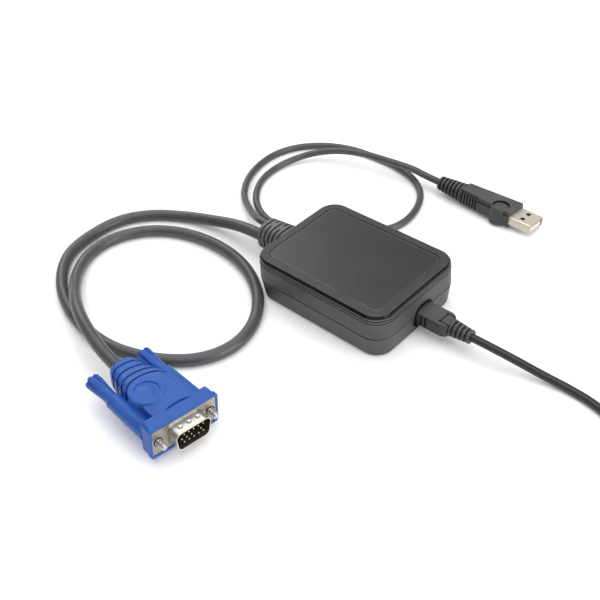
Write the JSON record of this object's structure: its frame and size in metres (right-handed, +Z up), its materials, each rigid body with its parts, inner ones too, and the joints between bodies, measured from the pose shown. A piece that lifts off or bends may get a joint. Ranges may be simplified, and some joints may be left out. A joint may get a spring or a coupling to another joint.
{
  "type": "laptop console adapter",
  "caption": "Small black adapter box with a ribbed strain relief, a video cord with a screw-locked blue plug, a USB cord and a mini-B laptop cord.",
  "frame": {"origin": "middle of the box's underside, on the surface that it lies on", "axes": "+Z up; +X along the box's long side towards the mini-B socket, with the strain relief at -X"},
  "size_m": [0.3368, 0.2212, 0.023],
  "materials": {
    "case_black": "fine satin texture",
    "bezel_gloss": "piano gloss",
    "screw_steel": "zinc plated",
    "board_green": "solder mask",
    "chip_black": "moulded",
    "crystal_steel": "plated can",
    "capacitor_can": "satin can",
    "connector_steel": "nickel plated",
    "socket_black": "moulded",
    "header_white": "moulded",
    "wire_insulation": "extruded",
    "relief_grey": "matt moulded",
    "cord_jacket": "semi-matt jacket",
    "hood_blue": "semi-matt moulded",
    "jackscrew_steel": "nickel plated",
    "contact_gold": "gold flash",
    "plug_black": "semi-matt moulded",
    "tongue_white": "moulded",
    "tie_black": "matt"
  },
  "bodies": {
    "adapter": {"lower_shell": "case_black", "upper_shell": "case_black", "top_panel": "case_black", "top_bezel": "bezel_gloss", "case_screws": "screw_steel", "circuit_board": "board_green", "video_chip": "chip_black", "usb_chip": "chip_black", "memory_chip": "chip_black", "crystal": "crystal_steel", "capacitors": "capacitor_can", "mini_socket_shell": "connector_steel", "mini_plug_nose": "connector_steel", "usb_shell": "connector_steel", "laptop_plug_shell": "connector_steel", "vga_shell": "connector_steel", "mini_socket_tongue": "socket_black", "mini_plug_insert": "socket_black", "vga_insulator": "socket_black", "vga_header": "header_white", "usb_header": "header_white", "vga_wires": "wire_insulation", "usb_wires": "wire_insulation", "strain_relief": "relief_grey", "vga_cable": "cord_jacket", "usb_cable": "cord_jacket", "laptop_cable": "cord_jacket", "laptop_coil": "cord_jacket", "laptop_tail": "cord_jacket", "vga_hood": "hood_blue", "vga_pins": "contact_gold", "usb_contacts": "contact_gold", "laptop_plug_contacts": "contact_gold", "usb_hood": "plug_black", "mini_plug_hood": "plug_black", "laptop_plug_hood": "plug_black", "usb_tongue": "tongue_white", "laptop_plug_tongue": "tongue_white", "coil_tie": "tie_black"},
    "left_thumbscrew": {"left_grip": "hood_blue", "left_jackscrew": "jackscrew_steel"},
    "right_thumbscrew": {"right_grip": "hood_blue", "right_jackscrew": "jackscrew_steel"}
  },
  "joints": [
    {"name": "left_thumbscrew_turn", "type": "hinge", "parent": "adapter", "child": "left_thumbscrew", "pos_m": [0.00427, -0.1198, 0.01058], "axis": [0.9974, -0.0628, -0.0349], "continuous": true},
    {"name": "right_thumbscrew_turn", "type": "hinge", "parent": "adapter", "child": "right_thumbscrew", "pos_m": [0.00573, -0.095, 0.00775], "axis": [0.9974, -0.0628, -0.0349], "continuous": true}
  ]
}
